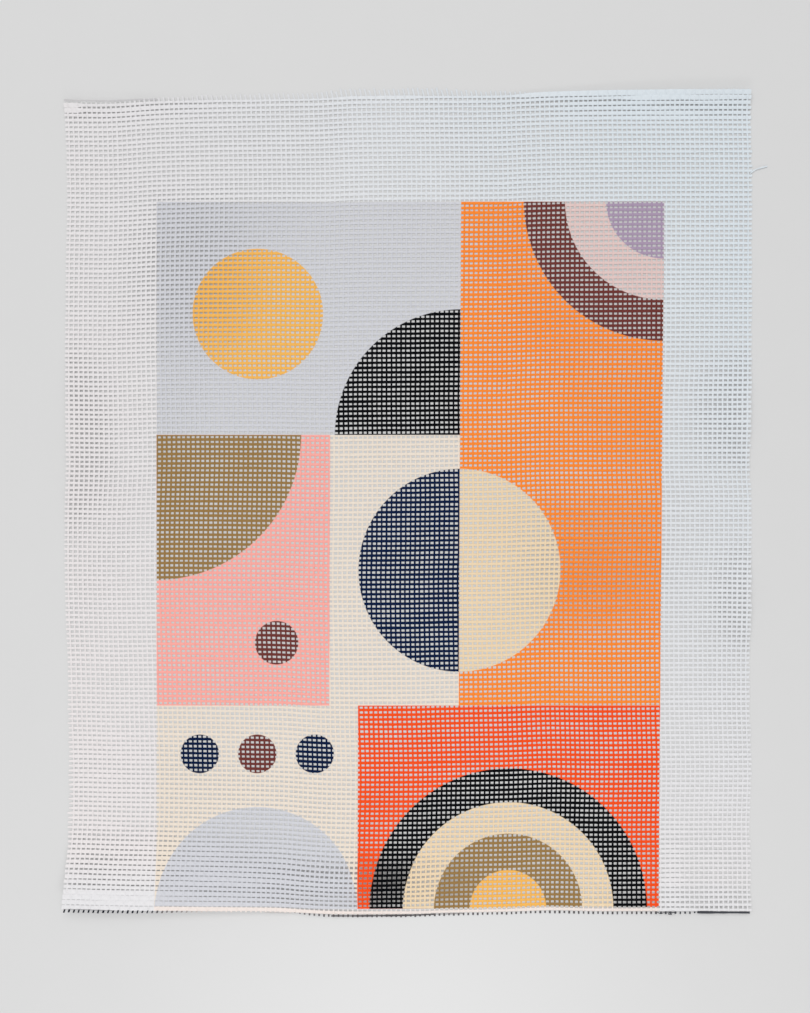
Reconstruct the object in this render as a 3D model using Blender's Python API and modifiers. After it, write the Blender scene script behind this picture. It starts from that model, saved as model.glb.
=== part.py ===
"""Needlepoint canvas panel: one cut sheet of open woven canvas, lying face up.

Run it with blender --background --python part.py, or from the Text Editor.
Metres, +Z up. The panel's own top edge points to +Y, and the origin is the middle
of its footprint, on the surface that it lies on.
"""

import math
from collections import namedtuple

import bmesh
import bpy

MM = 0.001

# Driving sizes
WIDTH = 283.4 * MM
LENGTH = 341.0 * MM
THICKNESS = 1.0 * MM

# Fineness of the sheet's cage, closer together towards its edges
CELLS_ACROSS = 44
CELLS_ALONG = 52
EDGE_CROWDING = 0.55

# Each cut edge wanders inside the full width and length. Share runs left to right
# along the top and bottom edges, and bottom to top along the sides.
EdgeRow = namedtuple("EdgeRow", "share inset_mm")
EDGES = {
    "top": (
        EdgeRow(0.00, 5.3),
        EdgeRow(0.05, 5.3),
        EdgeRow(0.08, 5.0),
        EdgeRow(0.13, 4.0),
        EdgeRow(0.19, 3.4),
        EdgeRow(0.29, 2.9),
        EdgeRow(0.37, 2.5),
        EdgeRow(0.42, 1.8),
        EdgeRow(0.50, 1.5),
        EdgeRow(0.63, 1.4),
        EdgeRow(0.67, 0.9),
        EdgeRow(0.73, 0.4),
        EdgeRow(0.83, 0.1),
        EdgeRow(1.00, 0.0),
    ),
    "bottom": (
        EdgeRow(0.00, 4.3),
        EdgeRow(0.07, 3.8),
        EdgeRow(0.19, 2.9),
        EdgeRow(0.27, 2.3),
        EdgeRow(0.31, 1.9),
        EdgeRow(0.35, 1.0),
        EdgeRow(0.39, 0.3),
        EdgeRow(0.44, 0.0),
        EdgeRow(0.51, 0.1),
        EdgeRow(0.55, 0.5),
        EdgeRow(0.64, 1.0),
        EdgeRow(0.71, 1.6),
        EdgeRow(0.78, 1.3),
        EdgeRow(0.86, 1.5),
        EdgeRow(1.00, 1.6),
    ),
    "left": (
        EdgeRow(0.00, 0.5),
        EdgeRow(0.04, 0.8),
        EdgeRow(0.08, 1.8),
        EdgeRow(0.13, 2.4),
        EdgeRow(0.18, 2.3),
        EdgeRow(0.24, 1.7),
        EdgeRow(0.29, 1.4),
        EdgeRow(0.36, 0.5),
        EdgeRow(0.43, 0.0),
        EdgeRow(0.49, 0.2),
        EdgeRow(0.56, 1.2),
        EdgeRow(0.63, 0.8),
        EdgeRow(0.70, 0.2),
        EdgeRow(0.80, 0.5),
        EdgeRow(0.88, 1.0),
        EdgeRow(0.94, 0.6),
        EdgeRow(1.00, 0.0),
    ),
    "right": (
        EdgeRow(0.00, 0.5),
        EdgeRow(0.05, 0.5),
        EdgeRow(0.10, 0.8),
        EdgeRow(0.17, 0.2),
        EdgeRow(0.27, 1.0),
        EdgeRow(0.40, 0.9),
        EdgeRow(0.46, 0.1),
        EdgeRow(0.50, 0.1),
        EdgeRow(0.54, 0.9),
        EdgeRow(0.62, 1.0),
        EdgeRow(0.67, 0.3),
        EdgeRow(0.74, 0.1),
        EdgeRow(0.90, 0.0),
        EdgeRow(1.00, 0.7),
    ),
}

# Soft buckles where the canvas stands a little off the surface, each a rounded
# swell about its middle.
Swell = namedtuple("Swell", "across_mm along_mm half_across_mm half_along_mm rise_mm")
SWELLS = (
    Swell(-26.0, -156.5, 64.0, 13.0, 3.2),
    Swell(-90.0, 96.0, 36.0, 46.0, 0.8),
    Swell(74.0, -26.0, 46.0, 40.0, 0.7),
)

# Stretches of the edges that lift off the surface. At and reach are shares of the
# edge's length, and depth is how far in from the edge the lift begins.
Curl = namedtuple("Curl", "edge at_share reach_share depth_mm rise_mm")
CURLS = (
    Curl("bottom", 0.00, 0.50, 36.0, 7.1),
    Curl("bottom", 1.00, 0.30, 14.0, 1.5),
    Curl("top", 0.00, 0.26, 10.0, 1.8),
    Curl("top", 1.00, 0.44, 13.0, 3.0),
    Curl("left", 0.58, 0.14, 24.0, 3.0),
    Curl("right", 0.61, 0.09, 30.0, 2.8),
    Curl("right", 0.38, 0.08, 20.0, 2.8),
)
CURL_SHARPNESS = 1.8

# The canvas is stiff, so it touches down at three places along its edges and lies
# flat between them. The rest stands a hair clear of the surface. The three places
# are cells of the cage, across and along, anticlockwise.
FLAT_CORNERS = ((0, 15), (CELLS_ACROSS, 9), (21, CELLS_ALONG))
CLEARANCE = 0.4 * MM
CLEARANCE_REACH = 20.0 * MM

CANVAS_COLOUR = (0.72, 0.72, 0.71, 1.0)
CANVAS_ROUGHNESS = 0.85


def slope_at(rows, index):
    """Slope of an edge's curve at a row: level at the ends and where the edge turns."""
    if index in (0, len(rows) - 1):
        return 0.0
    before, here, after = rows[index - 1 : index + 2]
    rise_before = here.inset_mm - before.inset_mm
    rise_after = after.inset_mm - here.inset_mm
    if rise_before * rise_after <= 0:
        return 0.0
    return (rise_before + rise_after) / (after.share - before.share)


def eased(rows, share):
    """The inset in metres at a share along an edge, on a smooth curve through its rows."""
    for index, (low, high) in enumerate(zip(rows, rows[1:])):
        if share <= high.share:
            run = high.share - low.share
            step = (share - low.share) / run
            turn = step * step * (3 - 2 * step)
            leave = run * slope_at(rows, index) * step * (1 - step) ** 2
            arrive = run * slope_at(rows, index + 1) * step * step * (1 - step)
            rise = turn * (high.inset_mm - low.inset_mm)
            return MM * (low.inset_mm + rise + leave - arrive)
    return MM * rows[-1].inset_mm


def bell(distance):
    """One at the middle of a swell, falling smoothly to nought at one and beyond."""
    if abs(distance) >= 1:
        return 0.0
    return math.cos(math.pi / 2 * distance) ** 2


def crowded(share):
    """A share of the sheet, moved towards the nearer edge."""
    rounded = 0.5 - 0.5 * math.cos(math.pi * share)
    return share + EDGE_CROWDING * (rounded - share)


def outline_point(across, along):
    """Where a share across and a share along the sheet lie in the plan."""
    left = eased(EDGES["left"], along) - WIDTH / 2
    right = WIDTH / 2 - eased(EDGES["right"], along)
    bottom = eased(EDGES["bottom"], across) - LENGTH / 2
    top = LENGTH / 2 - eased(EDGES["top"], across)
    return left + across * (right - left), bottom + along * (top - bottom)


def swell_lift(x, y):
    """How high the buckles carry the underside at a place in the plan."""
    lift = 0.0
    for swell in SWELLS:
        sideways = (x - swell.across_mm * MM) / (swell.half_across_mm * MM)
        lengthways = (y - swell.along_mm * MM) / (swell.half_along_mm * MM)
        lift += swell.rise_mm * MM * bell(sideways) * bell(lengthways)
    return lift


def curl_lift(across, along):
    """How high the lifting edges carry the underside at a share of the sheet."""
    from_edge = {
        "left": across * WIDTH,
        "right": (1 - across) * WIDTH,
        "bottom": along * LENGTH,
        "top": (1 - along) * LENGTH,
    }
    lift = 0.0
    for curl in CURLS:
        share = along if curl.edge in ("left", "right") else across
        inward = max(0.0, 1 - from_edge[curl.edge] / (curl.depth_mm * MM))
        beside = bell((share - curl.at_share) / curl.reach_share)
        lift += curl.rise_mm * MM * inward**CURL_SHARPNESS * beside
    return lift


def flat_corners():
    """Where the three places that touch down lie in the plan."""
    return [
        outline_point(crowded(i / CELLS_ACROSS), crowded(j / CELLS_ALONG))
        for i, j in FLAT_CORNERS
    ]


def clear_lift(x, y, corners):
    """How high the canvas stands clear outside the part that lies flat."""
    outside = 0.0
    for (ax, ay), (bx, by) in zip(corners, corners[1:] + corners[:1]):
        across_side = (x - ax) * (by - ay) - (y - ay) * (bx - ax)
        outside = max(outside, across_side / math.hypot(bx - ax, by - ay))
    return CLEARANCE * (1 - bell(min(1.0, outside / CLEARANCE_REACH)))


def canvas_material():
    """Matt undyed cotton canvas."""
    material = bpy.data.materials.new("Cotton canvas")
    material.use_nodes = True
    shader = material.node_tree.nodes["Principled BSDF"]
    shader.inputs["Base Color"].default_value = CANVAS_COLOUR
    shader.inputs["Roughness"].default_value = CANVAS_ROUGHNESS
    shader.inputs["Metallic"].default_value = 0.0
    return material


def canvas_panel(collection):
    """The whole sheet: a bent grid for the underside, thickened upwards."""
    mesh = bpy.data.meshes.new("canvas_panel")
    grid = bmesh.new()
    bmesh.ops.create_grid(
        grid, x_segments=CELLS_ACROSS, y_segments=CELLS_ALONG, size=0.5
    )
    corners = flat_corners()
    for vertex in grid.verts:
        across = crowded(min(1.0, max(0.0, vertex.co.x + 0.5)))
        along = crowded(min(1.0, max(0.0, vertex.co.y + 0.5)))
        x, y = outline_point(across, along)
        lift = swell_lift(x, y) + curl_lift(across, along) + clear_lift(x, y, corners)
        vertex.co = x, y, lift
    grid.to_mesh(mesh)
    grid.free()
    mesh.materials.append(canvas_material())
    mesh.shade_smooth()
    panel = bpy.data.objects.new("canvas_panel", mesh)
    collection.objects.link(panel)
    thickness = panel.modifiers.new("Canvas thickness", "SOLIDIFY")
    thickness.thickness = THICKNESS
    thickness.offset = 1.0
    return panel


def main():
    for old in list(bpy.data.objects):
        bpy.data.objects.remove(old)
    collection = bpy.data.collections.new("Needlepoint canvas panel")
    bpy.context.scene.collection.children.link(collection)
    canvas_panel(collection)


main()
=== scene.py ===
"""Needlepoint canvas panel: every thread of the open weave, the printed field, the
inked cut ends, and a plain studio stage.

Run it as a script. Metres, +Z up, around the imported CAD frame. The cloth is one
sheet. It is made as five bands of rows only to keep each mesh a workable size.
"""

import math
from collections import namedtuple

import bmesh
import bpy
import numpy as np
from bpy.props import (
    FloatProperty,
    FloatVectorProperty,
    IntProperty,
    PointerProperty,
)
from mathutils import Matrix, Vector


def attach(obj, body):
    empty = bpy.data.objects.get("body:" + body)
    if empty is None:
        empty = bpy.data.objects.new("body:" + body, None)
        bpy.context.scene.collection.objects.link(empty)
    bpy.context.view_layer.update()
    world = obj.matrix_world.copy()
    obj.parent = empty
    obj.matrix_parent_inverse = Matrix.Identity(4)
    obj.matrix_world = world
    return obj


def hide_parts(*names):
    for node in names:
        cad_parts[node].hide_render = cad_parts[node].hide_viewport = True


bl_info = {
    "name": "Needlepoint Canvas Panel",
    "version": (1, 0, 0),
    "blender": (4, 5, 0),
    "location": "3D View > Sidebar > Canvas Panel",
    "description": "Woven needlepoint canvas with a printed field, on a pale stage",
    "category": "Add Mesh",
}

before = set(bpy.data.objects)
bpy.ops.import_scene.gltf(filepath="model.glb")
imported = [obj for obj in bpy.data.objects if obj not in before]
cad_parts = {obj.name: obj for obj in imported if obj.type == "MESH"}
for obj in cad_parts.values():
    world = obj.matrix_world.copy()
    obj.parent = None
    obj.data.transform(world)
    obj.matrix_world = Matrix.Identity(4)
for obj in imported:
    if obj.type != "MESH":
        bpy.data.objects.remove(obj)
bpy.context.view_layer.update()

MM = 0.001
NODE = "canvas_panel"
BODY = "root"
SEED = 7

# The sheet's own shape: the CAD sheet's, but for a smaller clearance. The middles of
# the threads lie CLOTH_MIDDLE above its underside.
WIDTH = 283.4 * MM
LENGTH = 341.0 * MM
CLOTH_MIDDLE = 0.33 * MM

# How far each cut edge lies inside the full size: share of the edge, inset in mm.
# Shares run left to right, and bottom to top.
EDGES = {
    "top": (
        (0.00, 5.3), (0.05, 5.3), (0.08, 5.0), (0.13, 4.0), (0.19, 3.4),
        (0.29, 2.9), (0.37, 2.5), (0.42, 1.8), (0.50, 1.5), (0.63, 1.4),
        (0.67, 0.9), (0.73, 0.4), (0.83, 0.1), (1.00, 0.0),
    ),
    "bottom": (
        (0.00, 4.3), (0.07, 3.8), (0.19, 2.9), (0.27, 2.3), (0.31, 1.9),
        (0.35, 1.0), (0.39, 0.3), (0.44, 0.0), (0.51, 0.1), (0.55, 0.5),
        (0.64, 1.0), (0.71, 1.6), (0.78, 1.3), (0.86, 1.5), (1.00, 1.6),
    ),
    "left": (
        (0.00, 0.5), (0.04, 0.8), (0.08, 1.8), (0.13, 2.4), (0.18, 2.3),
        (0.24, 1.7), (0.29, 1.4), (0.36, 0.5), (0.43, 0.0), (0.49, 0.2),
        (0.56, 1.2), (0.63, 0.8), (0.70, 0.2), (0.80, 0.5), (0.88, 1.0),
        (0.94, 0.6), (1.00, 0.0),
    ),
    "right": (
        (0.00, 0.5), (0.05, 0.5), (0.10, 0.8), (0.17, 0.2), (0.27, 1.0),
        (0.40, 0.9), (0.46, 0.1), (0.50, 0.1), (0.54, 0.9), (0.62, 1.0),
        (0.67, 0.3), (0.74, 0.1), (0.90, 0.0), (1.00, 0.7),
    ),
}

# Soft buckles: middle across and along, half sizes across and along, rise, in mm
SWELLS = (
    (-26.0, -156.5, 64.0, 13.0, 3.2),
    (-90.0, 96.0, 36.0, 46.0, 0.8),
    (74.0, -26.0, 46.0, 40.0, 0.7),
)

# Lifting edges: edge, share at the middle, reach as a share, depth and rise in mm
CURLS = (
    ("bottom", 0.00, 0.50, 36.0, 7.1),
    ("bottom", 1.00, 0.30, 14.0, 1.5),
    ("top", 0.00, 0.26, 10.0, 1.8),
    ("top", 1.00, 0.44, 13.0, 3.0),
    ("left", 0.58, 0.14, 24.0, 3.0),
    ("right", 0.61, 0.09, 30.0, 2.8),
    ("right", 0.38, 0.08, 20.0, 2.8),
)
CURL_SHARPNESS = 1.8

# The three places that touch down, as shares across and along, and how far the rest of
# the sheet stands clear
FLAT_CORNERS = ((0.0, 0.2352), (1.0, 0.1176), (0.4702, 1.0))
CLEARANCE = 0.12 * MM
CLEARANCE_REACH = 20.0 * MM

# Where wefts are pressed wide along the cut edges, with few holes left: edge, first row
# from it, row after the last, and a table of mm across and times as wide
PRESSED_ROWS = (
    (
        "top", 0, 1,
        ((-137, 1.9), (-134, 1.0), (-32, 1.0), (-27, 1.5), (2, 1.5), (6, 1.0), (43, 1.0),
         (50, 1.9)),
    ),
    ("top", 1, 2, ((-137, 1.9), (-134, 1.2), (-80, 1.2), (-60, 1.0), (88, 1.0), (96, 1.5))),
    ("top", 2, 6, ((-80, 1.2), (-60, 1.0), (55, 1.0), (75, 1.35))),
    ("bottom", 0, 1, ((-107, 1.2), (-97, 1.0))),
    ("bottom", 1, 3, ((-107, 1.36), (-97, 1.0))),
    ("bottom", 3, 4, ((-107, 1.2), (-97, 1.0))),
)

# Patches where the wefts lie fuller and the holes close up: middle across and along,
# half sizes across and along in mm, times as wide
FULL_PATCHES = (
    (-128.0, -110.0, 40.0, 34.0, 1.3),
    (-84.0, -152.0, 110.0, 44.0, 1.26),
    (-96.0, -156.0, 120.0, 24.0, 1.32),
    (-112.0, 165.0, 40.0, 16.0, 1.2),
    (100.0, 165.0, 80.0, 16.0, 1.2),
    (109.0, -156.0, 9.0, 34.0, 1.5),
)

# How far thread ends stand out past the cut edge: mm along the edge, threads
TOP_ENDS = (
    (-142, 0.05), (-114, 0.10), (-108, 0.45), (-92, 0.60), (-80, 0.85), (-58, 1.00),
    (-33, 1.10), (-27, 1.40), (12, 1.40), (30, 0.80), (42, 0.60), (50, 0.10),
    (142, 0.03),
)
BOTTOM_ENDS = (
    (-142, 0.52), (-118, 0.46), (-100, 0.30), (-86, 0.10), (-45, 0.05), (-38, 0.40),
    (8, 0.42), (20, 0.36), (100, 0.40), (116, 0.34), (121, 0.05), (142, 0.05),
)
LEFT_ENDS = (
    (-171, 0.25), (-150, 0.30), (-143, 0.40), (-128, 0.75), (-105, 0.60), (-85, 0.50),
    (-76, 0.30), (171, 0.25),
)

# Dark ink left on the cut ends along the bottom edge, as mm across and share; painted shade on
# the cut ends along the top edge, in the same dark colour, as one share; and how many rows in
# from the cut both reach
INK_ON_ENDS = (
    (-142, 1.0), (-110, 1.0), (-94, 0.75), (-84, 0.22), (-72, 0.0), (-49, 0.0),
    (-46, 0.85), (102, 0.92), (142, 1.0),
)
SHADE_ON_TOP_ENDS = 0.05
INK_AND_SHADE_ROWS = 0.16

# How many rows next to the cut edges are left out of the print
BARE_ROWS = 0.98
ROW_SHARPNESS = 8.0

# How threads vary: rings to each wave of their lines and of their widths, and the share
# of the change in width that a whole thread has
STRAY_WAVE = 9
WIDTH_WAVE = 14
WHOLE_THREAD = 0.6

# Random limits of the ends: times the tables' lengths at the left and top, threads at
# the right, and threads more or less at the bottom
LEFT_TIMES = (0.6, 1.1)
TOP_TIMES = (0.7, 1.1)
RIGHT_ENDS = (0.15, 0.4)
BOTTOM_CHANGE = (-0.06, 0.06)

# How the ends are shaped: the thinnest left end, how much wider a top end frays and how
# far it leans, and how far the bottom ends lean left of a place in mm
THINNEST_END = 0.35
TOP_FRAY = 0.1
TOP_LEAN = 0.3
BOTTOM_LEAN = 0.24
LEAN_FROM, LEAN_OVER = -60.0, 30.0

# Strands left along the cut edges or lying loose: width in mm, share of the dark end colour
# (ink, but painted shade on the first strand), rings, and a path of mm across, rows up and mm
# of lift. Their widths vary by a share, and they are flatter than wide.
STRANDS = (
    # The first strand, grey along the top-left cut edge, is painted shadow: it stands in for the
    # shadow line at that edge
    (
        0.55, 0.26, 60,
        ((-141.9, 170.5, 0.0), (-128.0, 170.4, 0.0), (-112.0, 170.3, 0.0), (-104.0, 170.2, 0.0)),
    ),
    (0.17, 0.80, 50, ((-141.4, 0.14, 0.2), (-131.4, 0.12, 0.2), (-121.4, 0.08, 0.2))),
    (0.16, 0.45, 24, ((-59.4, -0.05, 0.0), (-54.4, -0.12, 0.0), (-48.4, -0.06, 0.0))),
    (
        0.58, 0.90, 70,
        ((-31.9, -0.20, 0.1), (-20.4, -0.12, 0.1), (-6.4, -0.10, 0.1), (10.6, 0.0, 0.1)),
    ),
    (0.24, 0.75, 24, ((9.6, 0.0, 0.0), (15.6, -0.05, 0.0), (22.6, -0.03, 0.0))),
    (
        0.34, 0.92, 44,
        (
            (103.2, 0.0, 0.2), (104.6, -0.24, 0.3), (106.2, -0.06, 0.3), (108.0, 0.04, 0.3),
            (109.2, -0.38, 0.4), (107.8, -0.30, 0.6), (108.6, 0.02, 0.7),
            (111.2, 0.02, 0.4), (110.4, -0.36, 0.3),
        ),
    ),
    (0.86, 0.93, 44, ((119.8, 0.0, 0.1), (130.6, -0.02, 0.1), (141.4, -0.04, 0.1))),
    (0.48, 0.0, 20, ((141.4, 152.9, 0.1), (144.2, 153.8, 0.3), (148.6, 154.4, 0.1))),
)
STRAND_WAVE = 4
STRAND_CHANGE = 0.2
STRAND_FLATNESS = 0.7

# The printed field, in mm across and along, how much narrower it is at its bottom than
# at its top, and how soft its edges are
FIELD_LOW = (-104.1, -167.8)
FIELD_HIGH = (105.9, 124.7)
NARROWING = 0.011
EDGE_SOFTNESS = 0.3

# Display colours of the inks, 0 to 255
INKS = {
    "orange": (249, 138, 51),
    "coral": (243, 80, 27),
    "pink": (248, 170, 161),
    "pale_pink": (225, 199, 195),
    "navy": (4, 26, 61),
    "black": (2, 4, 8),
    "maroon": (110, 55, 51),
    "khaki": (152, 120, 72),
    "yellow": (241, 182, 91),
    "straw": (235, 212, 178),
    "cream": (234, 222, 208),
    "lilac": (169, 150, 175),
    "grey_lilac": (208, 209, 215),
}

# The design: plain blocks, discs and arches, painted in this order. Millimetres from
# the field's lower left corner: ink, low corner, high corner, centre, radius.
# A radius of None is a plain block.
SHAPES = (
    ("grey_lilac", (0, 196), (126, 293), None, None),
    ("orange", (126, 84), (210, 293), None, None),
    ("pink", (0, 84), (72, 196), None, None),
    ("coral", (84, 0), (210, 84), None, None),
    ("yellow", (0, 196), (126, 293), (42, 246), 27),
    ("black", (74, 196), (126, 248), (126, 196), 52),
    ("khaki", (0, 136), (72, 196), (0, 196), 60),
    ("navy", (72, 84), (126, 196), (126, 140), 42),
    ("straw", (126, 84), (210, 196), (126, 140), 42),
    ("maroon", (150, 233), (210, 293), (210, 293), 58),
    ("pale_pink", (150, 233), (210, 293), (210, 293), 41),
    ("lilac", (150, 233), (210, 293), (210, 293), 24),
    ("black", (84, 0), (210, 84), (147, 0), 58),
    ("straw", (84, 0), (210, 84), (147, 0), 44),
    ("khaki", (84, 0), (210, 84), (147, 0), 31),
    ("yellow", (84, 0), (210, 84), (147, 0), 16),
    ("grey_lilac", (0, 0), (84, 84), (42, 0), 42),
    ("navy", (0, 0), (84, 84), (18, 64), 8),
    ("maroon", (0, 0), (84, 84), (42, 64), 8),
    ("navy", (0, 0), (84, 84), (66, 64), 8),
    ("maroon", (0, 84), (72, 196), (50, 110), 9),
)
BLOCK_RADIUS = 900.0

# How cool the white is, from 0, warm, to 1, cool: in the middle, then more for each mm
# across, for each mm up, and for each mm up at each mm across. It is cool again at the
# bottom edge, below a place in mm, by a share for each mm, up to a most: a painted tint of
# the shade and reflected light under the lifted bottom edge.
COOL_MIDDLE = 0.377
COOL_ACROSS = 0.0023
COOL_UP = 0.0018
COOL_BOTH = 0.0000076
SHADE_TINT_FROM = -145.0
SHADE_TINT_DOWN = 0.02
SHADE_TINT_MOST = 0.32

# The floor: half its side in metres, its darkest mottle, and a painted pool of light, paler,
# below the bottom edge, with its middle, its strength there and how it fades with each metre
FLOOR_HALF = 2.5
MOTTLE_DARKER = 0.985
LIGHT_POOL_PALER = 1.05
LIGHT_POOL_MIDDLE = (0.0, -0.21, 0.0)
LIGHT_POOL_STRENGTH = 1.1
LIGHT_POOL_FADE = -9.0

# The lights' places, aims and sizes, and where the camera stands over the panel
OVERHEAD_LIGHT = ((-0.15, 0.4, 1.5), (0.0, 0.0, 0.0), (1.4, 1.4))
NEAR_LIGHT = ((0.0, -0.42, 0.35), (0.0, -0.2, 0.0), (0.26, 0.16))
CAMERA_OVER = (-1.32 * MM, -1.42 * MM)
SENSOR = 36.0


def linear(display):
    """A 0 to 255 display colour as the linear colour that a shader takes."""
    share = np.array(display) / 255
    low = share / 12.92
    high = ((share + 0.055) / 1.055) ** 2.4
    return tuple(float(c) for c in np.where(share <= 0.04045, low, high))


def colour_setting(name, description, display):
    return FloatVectorProperty(
        name=name,
        description=description,
        subtype="COLOR",
        size=3,
        min=0.0,
        max=1.0,
        default=linear(display),
    )


class CanvasWeave(bpy.types.PropertyGroup):
    """Sizes of the woven canvas."""

    warps: IntProperty(
        name="Warps", description="Threads that run up the panel", default=142, min=10
    )
    wefts: IntProperty(
        name="Wefts", description="Threads that run across it", default=170, min=10
    )
    bands: IntProperty(
        name="Bands", description="Meshes that share the rows", default=5, min=1
    )
    warp_width: FloatProperty(
        name="Warp Width", description="Across one warp", default=0.68 * MM,
        unit="LENGTH", precision=5,
    )
    weft_width: FloatProperty(
        name="Weft Width", description="Across one weft", default=1.02 * MM,
        unit="LENGTH", precision=5,
    )
    thread_height: FloatProperty(
        name="Thread Height", description="Height of a pressed thread",
        default=0.26 * MM, unit="LENGTH", precision=5,
    )
    warp_crimp: FloatProperty(
        name="Warp Crimp", description="How far a warp rises over a weft",
        default=0.17 * MM, unit="LENGTH", precision=5,
    )
    weft_crimp: FloatProperty(
        name="Weft Crimp", description="How far a weft rises over a warp",
        default=0.09 * MM, unit="LENGTH", precision=5,
    )
    unevenness: FloatProperty(
        name="Unevenness", description="How much thread widths vary", default=0.07,
        subtype="FACTOR", min=0.0, max=0.5,
    )
    wander: FloatProperty(
        name="Wander", description="How far a thread strays from its line",
        default=0.03 * MM, unit="LENGTH", precision=5,
    )


class CanvasFinish(bpy.types.PropertyGroup):
    """Colours and finish of the thread."""

    cool_white: colour_setting("Cool White", "Thread at the top right", (219, 227, 233))
    warm_white: colour_setting("Warm White", "Thread at the lower left", (232, 227, 227))
    # Bare unprinted row; its peach tint is painted bounce light from the pink print above it
    bare_white_and_bounce: colour_setting("Bare White", "Row under the print", (237, 226, 220))
    # Ink on the bottom ends; the same colour is painted shade on the top ends and the top-left
    # edge strand
    ends_ink_and_shade: colour_setting("Ink on Ends", "Ink on the cut ends", (24, 28, 40))
    roughness: FloatProperty(
        name="Roughness", description="Roughness of the cotton", default=0.86,
        subtype="FACTOR", min=0.0, max=1.0,
    )
    fibre_relief: FloatProperty(
        name="Fibre Relief", description="Depth of fibre and twist in the thread",
        default=0.03 * MM, unit="LENGTH", precision=6,
    )


class CanvasStage(bpy.types.PropertyGroup):
    """Floor, light and camera."""

    floor_colour: colour_setting("Floor", "Pale floor", (216, 216, 216))
    sky: FloatProperty(
        name="Studio Light", description="Strength of the even light all round",
        default=0.44, min=0.0,
    )
    overhead: FloatProperty(
        name="Overhead Light", description="Large soft light above the panel",
        default=16.0, min=0.0, unit="POWER",
    )
    near_light: FloatProperty(
        name="Near Light", description="Soft light beyond the bottom edge",
        default=0.42, min=0.0, unit="POWER",
    )
    camera_height: FloatProperty(
        name="Camera Height", description="Camera above the floor", default=0.55,
        unit="LENGTH",
    )
    view_height: FloatProperty(
        name="View Height", description="Length of floor in the picture",
        default=0.4196, unit="LENGTH",
    )


# The sheet's shape


def curve_through(marks, values, place):
    """Values at places on a smooth curve through marked ones, level where it turns."""
    marks, values = np.array(marks, dtype=float), np.array(values, dtype=float)
    run, rise = np.diff(marks), np.diff(values)
    turning = rise[:-1] * rise[1:] <= 0
    slope = np.zeros(len(marks))
    slope[1:-1] = np.where(turning, 0.0, (rise[:-1] + rise[1:]) / (run[:-1] + run[1:]))
    row = np.clip(np.searchsorted(marks, place) - 1, 0, len(marks) - 2)
    step = np.clip((place - marks[row]) / run[row], 0, 1)
    turn = step * step * (3 - 2 * step)
    leave = run[row] * slope[row] * step * (1 - step) ** 2
    arrive = run[row] * slope[row + 1] * step * step * (1 - step)
    return values[row] + turn * rise[row] + leave - arrive


def eased(rows, share):
    """The inset in metres at shares along an edge, on a smooth curve through its rows."""
    return MM * curve_through(*zip(*rows), share)


def bell(distance):
    """One at the middle of a swell, falling smoothly to nought at one and beyond."""
    return np.cos(math.pi / 2 * np.clip(np.abs(distance), 0, 1)) ** 2


def outline_point(across, along):
    """Where shares across and along the sheet lie in the plan."""
    left = eased(EDGES["left"], along) - WIDTH / 2
    right = WIDTH / 2 - eased(EDGES["right"], along)
    bottom = eased(EDGES["bottom"], across) - LENGTH / 2
    top = LENGTH / 2 - eased(EDGES["top"], across)
    return left + across * (right - left), bottom + along * (top - bottom)


def swell_lift(x, y):
    """How high the buckles carry the sheet."""
    lift = 0.0
    for middle_x, middle_y, half_x, half_y, rise in SWELLS:
        sideways = bell((x / MM - middle_x) / half_x)
        lift = lift + rise * MM * sideways * bell((y / MM - middle_y) / half_y)
    return lift


def curl_lift(across, along):
    """How high the lifting edges carry the sheet."""
    from_edge = {
        "left": across * WIDTH,
        "right": (1 - across) * WIDTH,
        "bottom": along * LENGTH,
        "top": (1 - along) * LENGTH,
    }
    lift = 0.0
    for edge, middle, reach, depth, rise in CURLS:
        share = along if edge in ("left", "right") else across
        inward = np.clip(1 - from_edge[edge] / (depth * MM), 0, None)
        beside = bell((share - middle) / reach)
        lift = lift + rise * MM * inward**CURL_SHARPNESS * beside
    return lift


def clear_lift(x, y):
    """How high the sheet stands clear outside the part that lies flat."""
    corners = [
        [float(c) for c in outline_point(np.float64(across), np.float64(along))]
        for across, along in FLAT_CORNERS
    ]
    outside = np.zeros_like(x)
    for (ax, ay), (bx, by) in zip(corners, corners[1:] + corners[:1]):
        across_side = (x - ax) * (by - ay) - (y - ay) * (bx - ax)
        outside = np.maximum(outside, across_side / math.hypot(bx - ax, by - ay))
    return CLEARANCE * (1 - bell(outside / CLEARANCE_REACH))


def sheet_point(across, along):
    """Middle of the cloth's thickness at shares across and along."""
    x, y = outline_point(across, along)
    lift = swell_lift(x, y) + curl_lift(across, along) + clear_lift(x, y)
    return np.stack([x, y, lift + CLOTH_MIDDLE], axis=-1)


def unit(vectors):
    return vectors / np.linalg.norm(vectors, axis=-1, keepdims=True)


def sheet_frame(across, along):
    """The cloth's middle, its directions across and along, and its upright."""
    step = 0.002
    middle = sheet_point(across, along)
    sideways = unit(sheet_point(across + step, along) - sheet_point(across - step, along))
    upwards = unit(sheet_point(across, along + step) - sheet_point(across, along - step))
    return middle, sideways, upwards, unit(np.cross(sideways, upwards))


# The threads

# Like threads: four corners round each ring, and at each ring the rows from the nearer
# cut end and the share of the dark end colour, which is ink at the bottom and painted shade at
# the top
Threads = namedtuple("Threads", "corners rows ink")


def table_value(rows, place):
    """A value from a table whose first column is mm along an edge."""
    return np.interp(place / MM, *zip(*rows))


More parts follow.
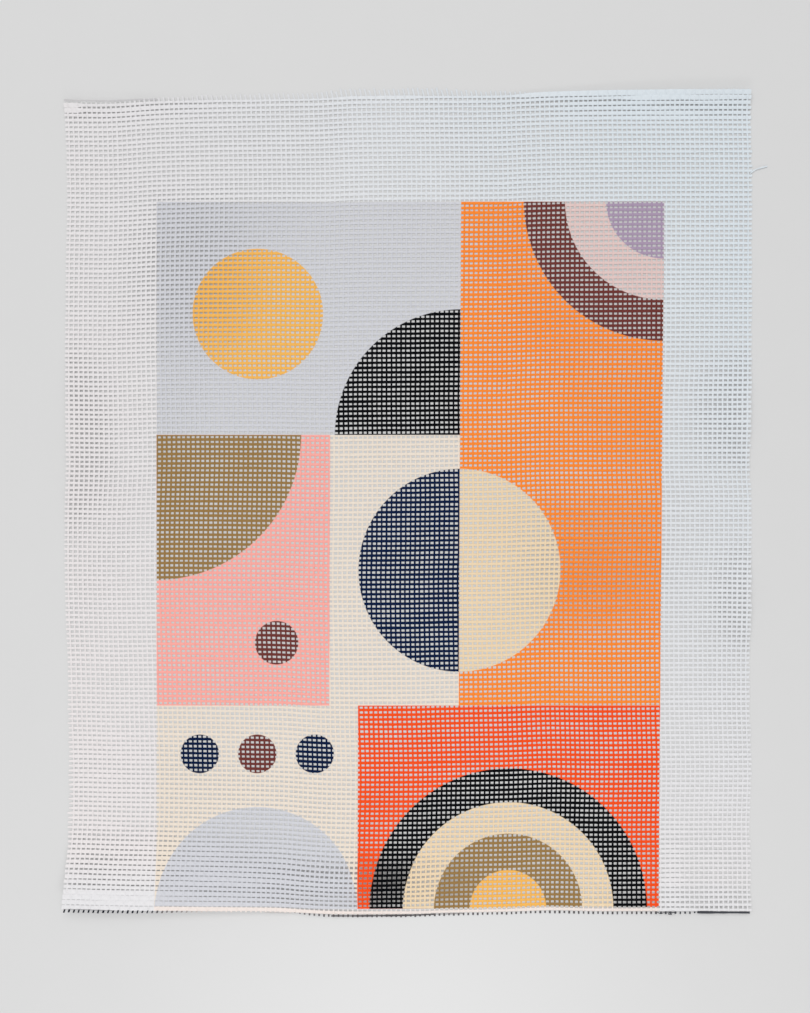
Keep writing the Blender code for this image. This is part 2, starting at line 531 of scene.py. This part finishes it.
def pressing(row, rows, x, y):
    """How many times its own width a weft is pressed to, near a cut edge or in a patch."""
    wider = np.ones_like(x)
    for edge, first, after, table in PRESSED_ROWS:
        from_edge = rows - row if edge == "top" else row
        inside = (from_edge > first) & (from_edge < after)
        wider = np.where(inside, wider * table_value(table, x), wider)
    for middle_x, middle_y, half_x, half_y, times in FULL_PATCHES:
        sideways = bell((x / MM - middle_x) / half_x)
        wider = wider * (1 + (times - 1) * sideways * bell((y / MM - middle_y) / half_y))
    return wider


def uneven(random, threads, rings, spacing):
    """Smooth random waves along each of many threads, about one unit high."""
    knots = max(3, rings // spacing)
    heights = random.normal(size=(threads, knots))
    place = np.linspace(0, knots - 1.001, rings)
    low = place.astype(int)
    step = place - low
    step = step * step * (3 - 2 * step)
    return heights[:, low] * (1 - step) + heights[:, low + 1] * step


def width_change(weave, random, threads, rings):
    """How many times its usual width each of many threads is, at each ring."""
    whole = random.normal(size=(threads, 1)) * WHOLE_THREAD
    return 1 + weave.unevenness * (whole + uneven(random, threads, rings, WIDTH_WAVE))


def thread_corners(centre, sideways, upright, half_width, half_height):
    """Four corners round the middle of a thread, at each ring."""
    out = sideways * half_width[..., None]
    up = upright * half_height[..., None]
    return np.stack([centre + out, centre + up, centre - out, centre - up], axis=2)


def weft_threads(weave, random):
    """Every weft, from the bottom edge up."""
    warps, wefts = weave.warps, weave.wefts
    u = np.arange(2 * warps + 1)[None, :] / 2 + np.zeros((wefts, 1))
    rows = np.arange(wefts)[:, None] + 0.5 + np.zeros_like(u)
    x, y = outline_point(u / warps, rows / wefts)
    ends = table_value(LEFT_ENDS, y[:, 0])
    u[:, 0] -= ends * random.uniform(*LEFT_TIMES, wefts)
    u[:, -1] += random.uniform(*RIGHT_ENDS, wefts)
    stray = uneven(random, wefts, u.shape[1], STRAY_WAVE)
    v = rows + weave.wander / (LENGTH / wefts) * stray
    middle, _, upwards, upright = sheet_frame(u / warps, v / wefts)
    over = np.where((np.floor(u) + np.floor(rows)) % 2 == 0, 1.0, -1.0)
    over = np.where(np.arange(u.shape[1]) % 2 == 1, over, 0.0)
    middle = middle + upright * (weave.weft_crimp * over)[..., None]
    change = width_change(weave, random, *u.shape)
    half = weave.weft_width / 2 * change * pressing(rows, wefts, x, y)
    half[:, 0] *= np.clip(1.2 - ends, THINNEST_END, 1.0)
    height = np.full(u.shape, weave.thread_height / 2)
    corners = thread_corners(middle, upwards, upright, half, height)
    return Threads(corners, np.minimum(v, wefts - v), np.zeros_like(v))


def warp_threads(weave, random):
    """Every warp, from left to right, with its inky lower end."""
    warps, wefts = weave.warps, weave.wefts
    rings = 2 * wefts + 1
    columns = np.arange(warps)[:, None] + 0.5 + np.zeros((warps, rings))
    rows = np.arange(rings)[None, :] / 2 + np.zeros((warps, 1))
    x, _ = outline_point(columns / warps, rows / wefts)
    v = rows.copy()
    v[:, 0] -= table_value(BOTTOM_ENDS, x[:, 0]) + random.uniform(*BOTTOM_CHANGE, warps)
    ends = table_value(TOP_ENDS, x[:, -1])
    v[:, -1] += ends * random.uniform(*TOP_TIMES, warps)
    u = columns + weave.wander / (WIDTH / warps) * uneven(random, warps, rings, STRAY_WAVE)
    u[:, 0] -= BOTTOM_LEAN * np.clip((LEAN_FROM - x[:, 0] / MM) / LEAN_OVER, 0, 1)
    u[:, -1] -= TOP_LEAN * ends
    middle, sideways, _, upright = sheet_frame(u / warps, v / wefts)
    over = np.where((np.floor(columns) + np.floor(rows)) % 2 == 0, -1.0, 1.0)
    over = np.where(np.arange(rings) % 2 == 1, over, 0.0)
    middle = middle + upright * (weave.warp_crimp * over)[..., None]
    half = weave.warp_width / 2 * width_change(weave, random, warps, rings)
    half[:, -1] *= 1 + TOP_FRAY * ends
    height = np.full(u.shape, weave.thread_height / 2)
    corners = thread_corners(middle, -sideways, upright, half, height)
    # Bottom ends get ink; top ends get the same dark colour as painted shade
    ink = np.where(rows < wefts / 2, table_value(INK_ON_ENDS, x[:, :1]), SHADE_ON_TOP_ENDS)
    return Threads(corners, np.minimum(v, wefts - v), ink)


def strand_threads(weave, random, width, ink, rings, path):
    """One loose strand along a path on the cloth."""
    place = np.linspace(0, len(path) - 1, rings)
    x, v, lift = (
        curve_through(np.arange(len(path)), values, place) for values in zip(*path)
    )
    centre = sheet_point(0.5 + x * MM / WIDTH, v / weave.wefts)
    centre[:, 2] += lift * MM
    upright = np.array([0.0, 0.0, 1.0])
    sideways = unit(np.cross(upright, np.gradient(centre, axis=0)))
    change = STRAND_CHANGE * uneven(random, 1, rings, STRAND_WAVE)
    half = width / 2 * MM * np.clip(1 + change, 0.6, 1.4)
    corners = thread_corners(
        centre[None], sideways[None], upright, half, STRAND_FLATNESS * half
    )
    rows = np.minimum(v, weave.wefts - v)[None]
    return Threads(corners, rows, np.full((1, rings), ink))


def straight_thread(steps):
    """A closed four-sided thread along X, ruled into unit steps."""
    thread = bmesh.new()
    bmesh.ops.create_circle(thread, segments=4, radius=1.0)
    turn = Matrix.Rotation(math.pi / 2, 3, "Y")
    bmesh.ops.rotate(thread, verts=thread.verts, cent=(0, 0, 0), matrix=turn)
    bmesh.ops.spin(
        thread,
        geom=thread.verts[:] + thread.edges[:],
        cent=(0, 0, 0),
        axis=(1, 0, 0),
        dvec=(1, 0, 0),
        angle=0.0,
        steps=steps,
    )
    caps = bmesh.ops.holes_fill(thread, edges=thread.edges[:], sides=4)["faces"]
    for edge in {edge for cap in caps for edge in cap.edges}:
        edge.smooth = False
    for edge in thread.edges:
        if all(abs(vert.co.y) > 0.5 for vert in edge.verts):
            edge.smooth = False
    bmesh.ops.recalc_face_normals(thread, faces=thread.faces[:])
    for face in thread.faces:
        face.smooth = True
    mesh = bpy.data.meshes.new("straight thread")
    thread.to_mesh(mesh)
    thread.free()
    return mesh


def template_places(mesh):
    """Which ring and which corner each vertex of a straight thread is."""
    points = np.empty(len(mesh.vertices) * 3)
    mesh.vertices.foreach_get("co", points)
    points = points.reshape(-1, 3)
    ring = np.rint(points[:, 0]).astype(int)
    turned = np.arctan2(points[:, 2], points[:, 1]) / (math.pi / 2)
    return ring, np.rint(turned).astype(int) % 4


def joined_threads(name, groups):
    """One mesh of many threads, with the ring, corner, row and ink of each vertex."""
    joined = bmesh.new()
    places, marks = [], []
    for threads in groups:
        template = straight_thread(threads.corners.shape[1] - 1)
        ring, corner = template_places(template)
        for corners, rows, ink in zip(*threads):
            joined.from_mesh(template)
            places.append(corners[ring, corner])
            marks.append(np.stack([ring, corner, rows[ring], ink[ring]]))
        bpy.data.meshes.remove(template)
    mesh = bpy.data.meshes.new(name)
    joined.to_mesh(mesh)
    joined.free()
    mesh.vertices.foreach_set("co", np.concatenate(places).ravel())
    mesh.update()
    return mesh, np.concatenate(marks, axis=1)


def loop_corners(mesh):
    """The vertex of each corner of each four-sided face."""
    loops = np.empty(len(mesh.loops), dtype=np.int64)
    mesh.loops.foreach_get("vertex_index", loops)
    return loops.reshape(-1, 4)


def lay_maps(mesh, ring, corner):
    """The plan map for the whole band, and the map that runs along each thread."""
    points = np.empty(len(mesh.vertices) * 3)
    mesh.vertices.foreach_get("co", points)
    plan = points.reshape(-1, 3)[:, :2]
    low, high = plan.min(axis=0) - MM, plan.max(axis=0) + MM
    faces = loop_corners(mesh)
    at_plan = plan[faces]
    # A cap stands upright over the plan, so it is opened out a little on the map
    is_cap = ring[faces].min(axis=1) == ring[faces].max(axis=1)
    nudge = np.array([[0.0, 0.0], [0.2, 0.2], [0.0, 0.0], [-0.2, -0.2]]) * MM
    at_plan[is_cap] += nudge[corner[faces[is_cap]].astype(int)]
    plan_map = mesh.uv_layers.new(name="OFBake")
    plan_map.data.foreach_set("uv", ((at_plan - low) / (high - low)).ravel())
    around = corner[faces]
    closes = around.max(axis=1) - around.min(axis=1) > 2
    around[closes] = np.where(around[closes] < 1, 4.0, around[closes])
    along = ring[faces] / 2
    thread_map = mesh.uv_layers.new(name="thread")
    thread_map.data.foreach_set("uv", np.stack([along, around / 4], axis=-1).ravel())


def mark(mesh, name, values):
    mesh.attributes.new(name, "FLOAT", "POINT").data.foreach_set("value", values)


# The finish


def node(tree, kind, place, **settings):
    """A new shader node with its sockets set or linked by number or name."""
    made = tree.nodes.new(kind)
    made.location = place
    inputs = settings.pop("inputs", {})
    for setting, value in settings.items():
        setattr(made, setting, value)
    for socket, value in inputs.items():
        if isinstance(value, bpy.types.NodeSocket):
            tree.links.new(value, made.inputs[socket])
        else:
            made.inputs[socket].default_value = value
    return made


def maths(tree, operation, *values, place=(0, 0), clamp=False):
    made = node(
        tree, "ShaderNodeMath", place, operation=operation, use_clamp=clamp,
        inputs=dict(enumerate(values)),
    )
    return made.outputs[0]


def vector_maths(tree, operation, *values, place=(0, 0), output=0):
    made = node(
        tree, "ShaderNodeVectorMath", place, operation=operation,
        inputs=dict(enumerate(values)),
    )
    return made.outputs[output]


def mixed(tree, share, under, over, place=(0, 0)):
    """A colour mix. Sockets 0, 6 and 7 are the share and the two colours."""
    made = node(
        tree, "ShaderNodeMix", place, data_type="RGBA",
        inputs={0: share, 6: under, 7: over},
    )
    return made.outputs[2]


def opaque(colour):
    return (*colour, 1.0)


def shape_group():
    """A group that paints one block, disc or part of a disc over what is there."""
    group = bpy.data.node_groups.new("Printed shape", "ShaderNodeTree")
    sockets = (
        ("Under", "NodeSocketColor"), ("Ink", "NodeSocketColor"),
        ("Place", "NodeSocketVector"), ("Low", "NodeSocketVector"),
        ("High", "NodeSocketVector"), ("Centre", "NodeSocketVector"),
        ("Radius", "NodeSocketFloat"),
    )
    for name, kind in sockets:
        group.interface.new_socket(name, in_out="INPUT", socket_type=kind)
    group.interface.new_socket("Colour", in_out="OUTPUT", socket_type="NodeSocketColor")
    entry = node(group, "NodeGroupInput", (-900, 0))
    leave = node(group, "NodeGroupOutput", (600, 0))
    inside = entry.outputs
    from_low = vector_maths(group, "SUBTRACT", inside["Place"], inside["Low"])
    from_high = vector_maths(group, "SUBTRACT", inside["High"], inside["Place"])
    nearest = vector_maths(group, "MINIMUM", from_low, from_high)
    split = node(group, "ShaderNodeSeparateXYZ", (-300, 0), inputs={0: nearest})
    to_side = maths(group, "MINIMUM", split.outputs[0], split.outputs[1])
    away = vector_maths(
        group, "DISTANCE", inside["Place"], inside["Centre"], output="Value"
    )
    to_rim = maths(group, "SUBTRACT", inside["Radius"], away)
    depth = maths(group, "MINIMUM", to_side, to_rim)
    share = maths(
        group, "MULTIPLY_ADD", depth, 1 / EDGE_SOFTNESS, 0.5, clamp=True
    )
    paint = mixed(group, share, inside["Under"], inside["Ink"])
    group.links.new(paint, leave.inputs["Colour"])
    return group


def painted(tree, group, place_mm, under, ink, low, high, centre=None, radius=None):
    """A block, or a disc or part of one, painted over a colour."""
    low, high = np.array(low), np.array(high)
    middle = (low + high) / 2 if centre is None else centre
    shape = node(
        tree, "ShaderNodeGroup", (0, 300), node_tree=group,
        inputs={
            "Under": under,
            "Ink": opaque(ink),
            "Place": place_mm,
            "Low": (*low, 0.0),
            "High": (*high, 0.0),
            "Centre": (*middle, 0.0),
            "Radius": radius or BLOCK_RADIUS,
        },
    )
    return shape.outputs["Colour"]


def narrowed(tree, split):
    """The place in the print in mm, stretched a little towards the field's bottom."""
    down = maths(tree, "SUBTRACT", FIELD_HIGH[1], split.outputs[1])
    down = maths(tree, "MULTIPLY", down, NARROWING / (FIELD_HIGH[1] - FIELD_LOW[1]))
    inward = maths(tree, "SUBTRACT", split.outputs[0], FIELD_LOW[0])
    across = maths(tree, "MULTIPLY_ADD", inward, down, split.outputs[0])
    place = node(
        tree, "ShaderNodeCombineXYZ", (-2600, 200), inputs={0: across, 1: split.outputs[1]}
    )
    return place.outputs[0]


def printed_design(tree, group, place_mm, white):
    """The colour of the printed field over the white canvas."""
    low, high = np.array(FIELD_LOW), np.array(FIELD_HIGH)
    colour = painted(tree, group, place_mm, white, linear(INKS["cream"]), low, high)
    for ink, box_low, box_high, centre, radius in SHAPES:
        colour = painted(
            tree, group, place_mm, colour, linear(INKS[ink]), low + box_low,
            np.minimum(low + box_high, high), centre and low + centre, radius,
        )
    return colour


def unprinted_row(tree, group, place_mm, white, finish):
    """The colour of the last row under the printed field: bare, tinted peach as painted bounce
    light from the pink print.
    """
    low, high = (FIELD_LOW[0], -WIDTH / MM), (FIELD_HIGH[0], 0.0)
    return painted(tree, group, place_mm, white, finish.bare_white_and_bounce, low, high)


def thread_relief(tree, finish):
    """Twist of the plies and loose fibre, as a bump along each thread."""
    along = node(tree, "ShaderNodeUVMap", (-1500, -500), uv_map="thread").outputs[0]
    split = node(tree, "ShaderNodeSeparateXYZ", (-1300, -500), inputs={0: along})
    turns = maths(tree, "MULTIPLY", split.outputs[0], 2 * math.pi * 1.4)
    around = maths(tree, "MULTIPLY_ADD", split.outputs[1], 2 * math.pi * 2, turns)
    twist = maths(tree, "SINE", around)
    fibre = node(
        tree, "ShaderNodeTexNoise", (-1100, -700),
        inputs={
            "Vector": vector_maths(tree, "MULTIPLY", along, (3.0, 26.0, 1.0)),
            "Scale": 2.2,
            "Detail": 2.0,
        },
    ).outputs[0]
    height = maths(tree, "MULTIPLY_ADD", twist, 0.35, fibre)
    bump = node(
        tree, "ShaderNodeBump", (-300, -500),
        inputs={"Strength": 1.0, "Distance": finish.fibre_relief, "Height": height},
    )
    return bump.outputs[0], fibre


def coolness(tree, split):
    """How cool the white is from place to place, with a painted shade tint along the bottom
    edge.
    """
    across, up = split.outputs[0], split.outputs[1]
    cool = maths(tree, "MULTIPLY_ADD", across, COOL_ACROSS, COOL_MIDDLE)
    for_up = maths(tree, "MULTIPLY_ADD", across, COOL_BOTH, COOL_UP)
    cool = maths(tree, "MULTIPLY_ADD", up, for_up, cool, clamp=True)
    # Painted shade tint: the white turns cooler towards the bottom edge, for the lilac shade
    # under the lifted edge
    bottom_shade_tint = maths(tree, "SUBTRACT", SHADE_TINT_FROM, up)
    bottom_shade_tint = maths(tree, "MULTIPLY", bottom_shade_tint, SHADE_TINT_DOWN)
    bottom_shade_tint = maths(tree, "MINIMUM", bottom_shade_tint, SHADE_TINT_MOST)
    return maths(tree, "MAXIMUM", cool, bottom_shade_tint)


def within_rows(tree, rows):
    """One where a thread is within some rows of a cut end, nought further in."""
    row = node(tree, "ShaderNodeAttribute", (1200, -200), attribute_name="row")
    under = maths(tree, "SUBTRACT", rows, row.outputs["Fac"])
    return maths(tree, "MULTIPLY_ADD", under, ROW_SHARPNESS, 0.5, clamp=True)


def cloudiness(tree, place_mm, fibre):
    """How many times its own brightness the colour is from place to place."""
    cloudy = node(
        tree, "ShaderNodeTexNoise", (1500, -500),
        inputs={"Vector": place_mm, "Scale": 0.9, "Detail": 3.0},
    ).outputs[0]
    times = maths(tree, "MULTIPLY_ADD", cloudy, 0.16, 0.85)
    times = maths(tree, "MULTIPLY_ADD", fibre, 0.14, times)
    return maths(tree, "MINIMUM", times, 1.06)


def cotton_material(finish):
    """Sized cotton thread: white canvas, printed field and inky ends, with painted shade on the
    top ends and the top-left edge strand, painted bounce light on the bare bottom row, and a
    painted shade tint at the bottom edge.
    """
    material = bpy.data.materials.new("Printed cotton canvas")
    material.use_nodes = True
    tree = material.node_tree
    shader = tree.nodes["Principled BSDF"]
    place = node(tree, "ShaderNodeTexCoord", (-3400, 0)).outputs["Object"]
    place_mm = vector_maths(tree, "MULTIPLY", place, (1000.0, 1000.0, 0.0))
    split = node(tree, "ShaderNodeSeparateXYZ", (-3000, 0), inputs={0: place_mm})
    cool = coolness(tree, split)
    white = mixed(tree, cool, opaque(finish.warm_white), opaque(finish.cool_white))
    group = shape_group()
    place_in_print = narrowed(tree, split)
    printed = printed_design(tree, group, place_in_print, white)
    unprinted = unprinted_row(tree, group, place_in_print, white, finish)
    colour = mixed(tree, within_rows(tree, BARE_ROWS), printed, unprinted)
    relief, fibre = thread_relief(tree, finish)
    colour = vector_maths(tree, "SCALE", colour, place=(1900, 0))
    tree.links.new(cloudiness(tree, place_mm, fibre), colour.node.inputs["Scale"])
    # Dark end colour: ink on the bottom ends and strands, painted shade on the top ends and the
    # top-left strand
    ink = node(tree, "ShaderNodeAttribute", (1500, -800), attribute_name="ink")
    ink_and_shade_share = maths(tree, "MULTIPLY", within_rows(tree, INK_AND_SHADE_ROWS), ink.outputs["Fac"])
    colour = mixed(tree, ink_and_shade_share, colour, opaque(finish.ends_ink_and_shade))
    tree.links.new(colour, shader.inputs["Base Color"])
    tree.links.new(relief, shader.inputs["Normal"])
    shader.inputs["Roughness"].default_value = finish.roughness
    shader.inputs["Specular IOR Level"].default_value = 0.1
    return material


def floor_material(colour):
    """Pale matt board with a barely visible mottle and a soft painted pool of light below the
    bottom edge.
    """
    material = bpy.data.materials.new("Pale board")
    material.use_nodes = True
    tree = material.node_tree
    shader = tree.nodes["Principled BSDF"]
    place = node(tree, "ShaderNodeTexCoord", (-900, 0)).outputs["Object"]
    mottle = node(
        tree, "ShaderNodeTexNoise", (-700, 0),
        inputs={"Vector": place, "Scale": 60.0, "Detail": 3.0},
    ).outputs[0]
    darker = tuple(channel * MOTTLE_DARKER for channel in colour)
    painted_lit_colour = tuple(channel * LIGHT_POOL_PALER for channel in colour)
    # Painted light: the board is paler round a spot below the bottom edge, a pool of light
    # painted on
    away = vector_maths(tree, "DISTANCE", place, LIGHT_POOL_MIDDLE, output="Value")
    light_pool = maths(tree, "MULTIPLY_ADD", away, LIGHT_POOL_FADE, LIGHT_POOL_STRENGTH, clamp=True)
    light_pool = maths(tree, "SMOOTH_MIN", light_pool, 1.0, 0.3)
    paint = mixed(tree, mottle, opaque(darker), opaque(colour), place=(-400, 0))
    paint = mixed(tree, light_pool, paint, opaque(painted_lit_colour), place=(-200, 0))
    tree.links.new(paint, shader.inputs["Base Color"])
    shader.inputs["Roughness"].default_value = 0.9
    shader.inputs["Specular IOR Level"].default_value = 0.2
    return material


# The operators


def show(mesh):
    made = bpy.data.objects.new(mesh.name, mesh)
    bpy.context.scene.collection.objects.link(made)
    return made


def area_light(name, place, aim, size, power):
    light = bpy.data.lights.new(name, "AREA")
    light.shape = "RECTANGLE"
    light.size, light.size_y = size
    light.energy = power
    made = bpy.data.objects.new(name, light)
    bpy.context.scene.collection.objects.link(made)
    made.location = place
    made.rotation_euler = (Vector(aim) - Vector(place)).to_track_quat("-Z", "Y").to_euler()
    made.visible_camera = False
    return made


class CANVAS_OT_woven_sheet(bpy.types.Operator):
    """Weave the whole canvas, thread by thread, in bands of rows"""

    bl_idname = "canvas_panel.woven_sheet"
    bl_label = "Woven Sheet"

    def execute(self, context):
        weave = context.scene.canvas_weave
        material = cotton_material(context.scene.canvas_finish)
        random = np.random.default_rng(SEED)
        wefts = weft_threads(weave, random)
        warps = warp_threads(weave, random)
        strands = [strand_threads(weave, random, *strand) for strand in STRANDS]
        cuts = np.rint(np.linspace(0, weave.wefts, weave.bands + 1)).astype(int)
        for index, (first, last) in enumerate(zip(cuts, cuts[1:]), 1):
            rings = slice(2 * first, 2 * last + 1)
            groups = [
                Threads(*(part[first:last] for part in wefts)),
                Threads(*(part[:, rings] for part in warps)),
            ]
            if index in (1, weave.bands):
                groups += [
                    strand for strand in strands
                    if (strand.corners[0, 0, 0, 1] > 0) == (index == weave.bands)
                ]
            length = LENGTH * (last - first) / weave.wefts
            self.make_band(f"canvas_band_{index}", groups, material, length)
        return {"FINISHED"}

    def make_band(self, name, groups, material, length):
        mesh, marks = joined_threads(name, groups)
        lay_maps(mesh, marks[0], marks[1])
        mark(mesh, "row", marks[2])
        # Share of the dark end colour: ink, and painted shade on the top ends and the top-left
        # strand
        mark(mesh, "ink", marks[3])
        mesh.materials.append(material)
        band = show(mesh)
        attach(band, BODY)
        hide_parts(NODE)


class CANVAS_OT_stage(bpy.types.Operator):
    """Set the pale floor, the soft lights and the camera above the panel"""

    bl_idname = "canvas_panel.stage"
    bl_label = "Stage"

    def execute(self, context):
        stage = context.scene.canvas_stage
        self.lay_floor(stage)
        self.light(context, stage)
        self.place_camera(context, stage)
        context.scene.view_settings.view_transform = "Standard"
        return {"FINISHED"}

    def lay_floor(self, stage):
        board = bmesh.new()
        bmesh.ops.create_grid(board, x_segments=2, y_segments=2, size=FLOOR_HALF)
        mesh = bpy.data.meshes.new("floor")
        board.to_mesh(mesh)
        board.free()
        mesh.materials.append(floor_material(stage.floor_colour))
        show(mesh)

    def light(self, context, stage):
        world = bpy.data.worlds.new("Studio")
        world.use_nodes = True
        sky = world.node_tree.nodes["Background"]
        sky.inputs["Color"].default_value = (1.0, 1.0, 1.0, 1.0)
        sky.inputs["Strength"].default_value = stage.sky
        context.scene.world = world
        area_light("Overhead light", *OVERHEAD_LIGHT, stage.overhead)
        area_light("Near light", *NEAR_LIGHT, stage.near_light)

    def place_camera(self, context, stage):
        lens = bpy.data.cameras.new("Camera")
        lens.sensor_fit = "VERTICAL"
        lens.sensor_width = lens.sensor_height = SENSOR
        lens.lens = lens.sensor_height * stage.camera_height / stage.view_height
        camera = bpy.data.objects.new("Camera", lens)
        context.scene.collection.objects.link(camera)
        camera.location = (*CAMERA_OVER, stage.camera_height)
        context.scene.camera = camera


class CANVAS_PT_panel(bpy.types.Panel):
    """Sizes, colours and pieces of the canvas panel"""

    bl_idname = "CANVAS_PT_panel"
    bl_label = "Canvas Panel"
    bl_space_type = "VIEW_3D"
    bl_region_type = "UI"
    bl_category = "Canvas Panel"

    def draw(self, context):
        for settings in ("canvas_weave", "canvas_finish", "canvas_stage"):
            box = self.layout.box()
            group = getattr(context.scene, settings)
            for setting in group.__annotations__:
                box.prop(group, setting)
        for operator in OPERATORS:
            self.layout.operator(operator.bl_idname)


OPERATORS = (CANVAS_OT_woven_sheet, CANVAS_OT_stage)
SETTINGS = {
    "canvas_weave": CanvasWeave,
    "canvas_finish": CanvasFinish,
    "canvas_stage": CanvasStage,
}


def register():
    for group in (*SETTINGS.values(), *OPERATORS, CANVAS_PT_panel):
        bpy.utils.register_class(group)
    for name, group in SETTINGS.items():
        setattr(bpy.types.Scene, name, PointerProperty(type=group))


def unregister():
    for name in SETTINGS:
        delattr(bpy.types.Scene, name)
    for group in (CANVAS_PT_panel, *reversed(OPERATORS), *SETTINGS.values()):
        bpy.utils.unregister_class(group)


def main():
    register()
    bpy.ops.canvas_panel.woven_sheet()
    bpy.ops.canvas_panel.stage()


if __name__ == "__main__":
    main()
